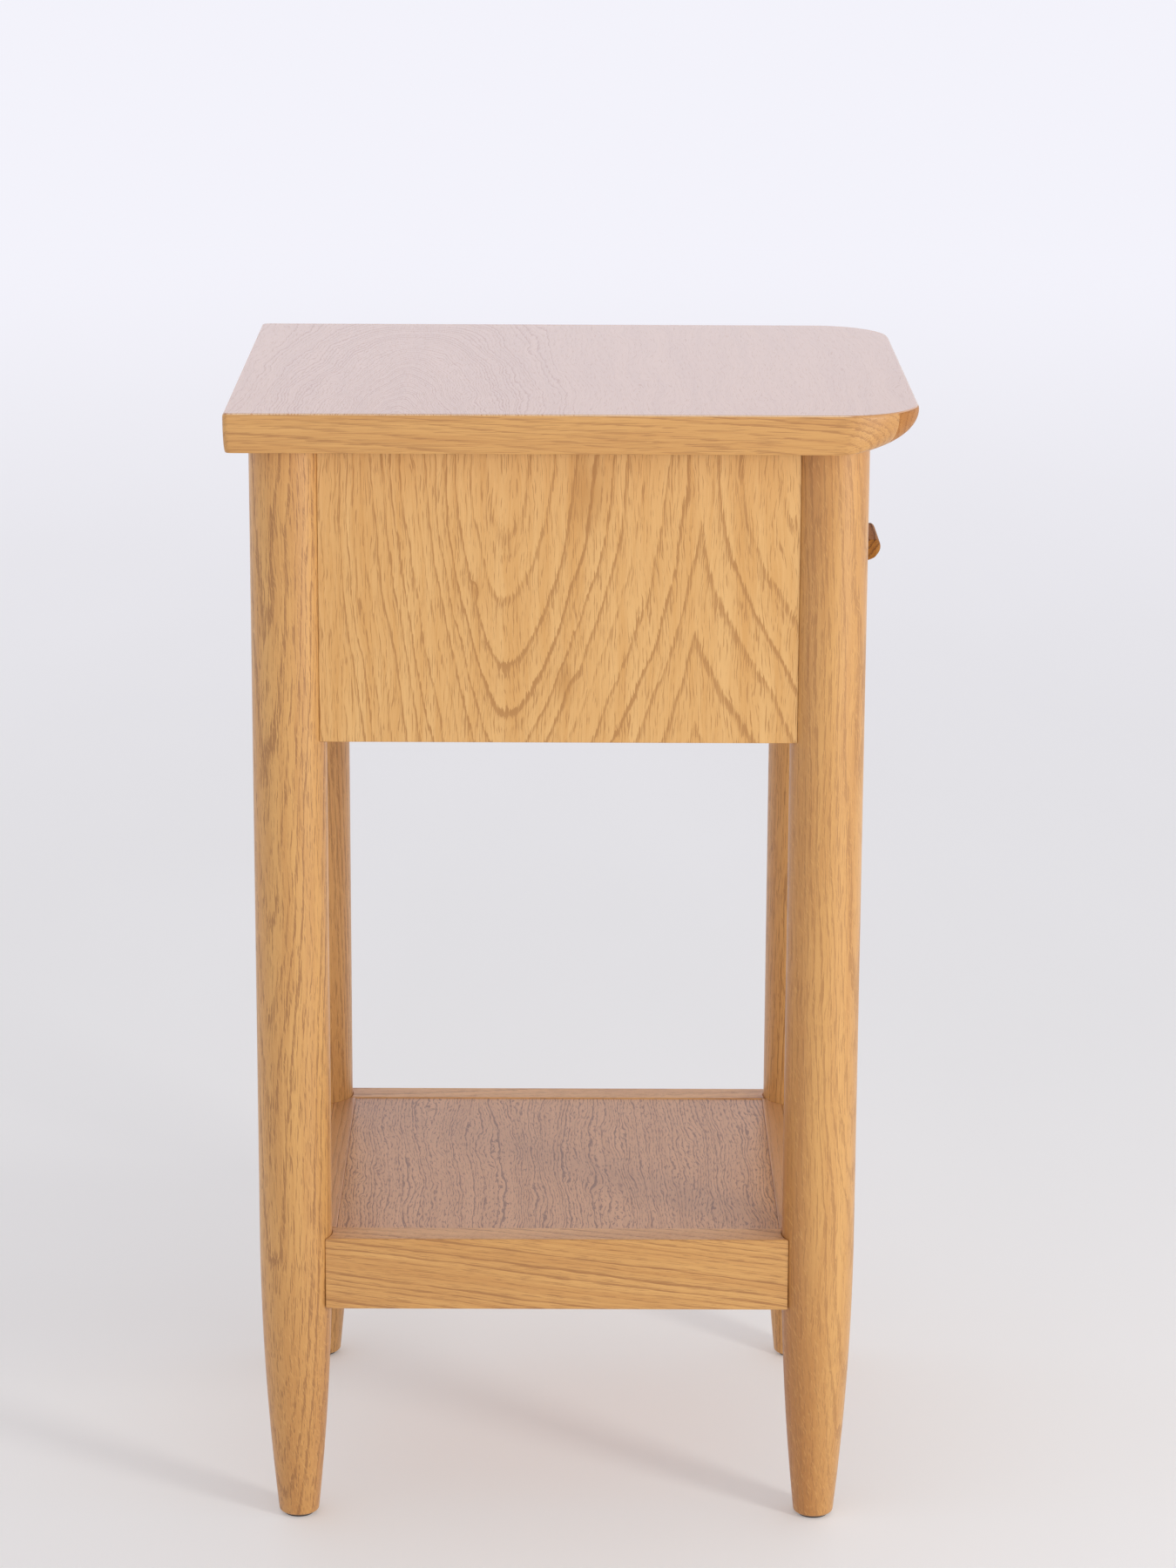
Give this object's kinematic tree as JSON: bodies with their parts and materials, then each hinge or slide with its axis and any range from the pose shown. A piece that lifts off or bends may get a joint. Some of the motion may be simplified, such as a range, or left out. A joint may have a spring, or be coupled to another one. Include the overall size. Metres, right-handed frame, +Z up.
{
  "type": "side table",
  "caption": "Small oak side table with round tapered legs, a rounded top, a shallow drawer under it and an open shelf below.",
  "frame": {"origin": "on the floor, under the middle of the top's outline", "axes": "+Z up, -Y out of the drawer front, +X to the right of a person who faces the drawer"},
  "size_m": [0.3, 0.348, 0.6],
  "materials": {
    "oak_solid": "satin lacquer",
    "oak_panel": "satin lacquer",
    "oak_veneer": "satin lacquer",
    "core_board": "raw",
    "drawer_box_wood": "thin clear lacquer",
    "plywood": "thin clear lacquer",
    "beech": "raw",
    "steel": "zinc plated",
    "glide_plastic": "matt"
  },
  "bodies": {
    "carcass": {"top_core": "core_board", "top_veneer": "oak_veneer", "top_lipping_front": "oak_solid", "top_lipping_back": "oak_solid", "top_lipping_left": "oak_solid", "top_lipping_right": "oak_solid", "leg_front_left": "oak_solid", "leg_front_right": "oak_solid", "leg_back_left": "oak_solid", "leg_back_right": "oak_solid", "leg_dowels": "beech", "foot_glides": "glide_plastic", "side_panel_left": "oak_panel", "side_panel_right": "oak_panel", "back_panel": "oak_panel", "front_top_rail": "beech", "front_bottom_rail": "beech", "drawer_runner_left": "beech", "drawer_runner_right": "beech", "drawer_guide_left": "beech", "drawer_guide_right": "beech", "drawer_kicker_left": "beech", "drawer_kicker_right": "beech", "drawer_stops": "beech", "top_screws": "steel", "runner_screws": "steel", "shelf_rail_left": "oak_solid", "shelf_rail_right": "oak_solid", "shelf_rail_front": "oak_solid", "shelf_rail_back": "oak_solid", "shelf_lipping_front": "oak_solid", "shelf_lipping_back": "oak_solid", "shelf_panel": "oak_veneer"},
    "drawer": {"drawer_front": "oak_panel", "drawer_side_left": "drawer_box_wood", "drawer_side_right": "drawer_box_wood", "drawer_back": "drawer_box_wood", "drawer_bottom": "plywood", "drawer_pull": "oak_solid", "pull_screws": "steel", "drawer_bottom_screws": "steel"}
  },
  "joints": [
    {"name": "drawer_slide", "type": "slide", "parent": "carcass", "child": "drawer", "axis": [0, -1, 0], "range_m": [0, 0.2]}
  ]
}
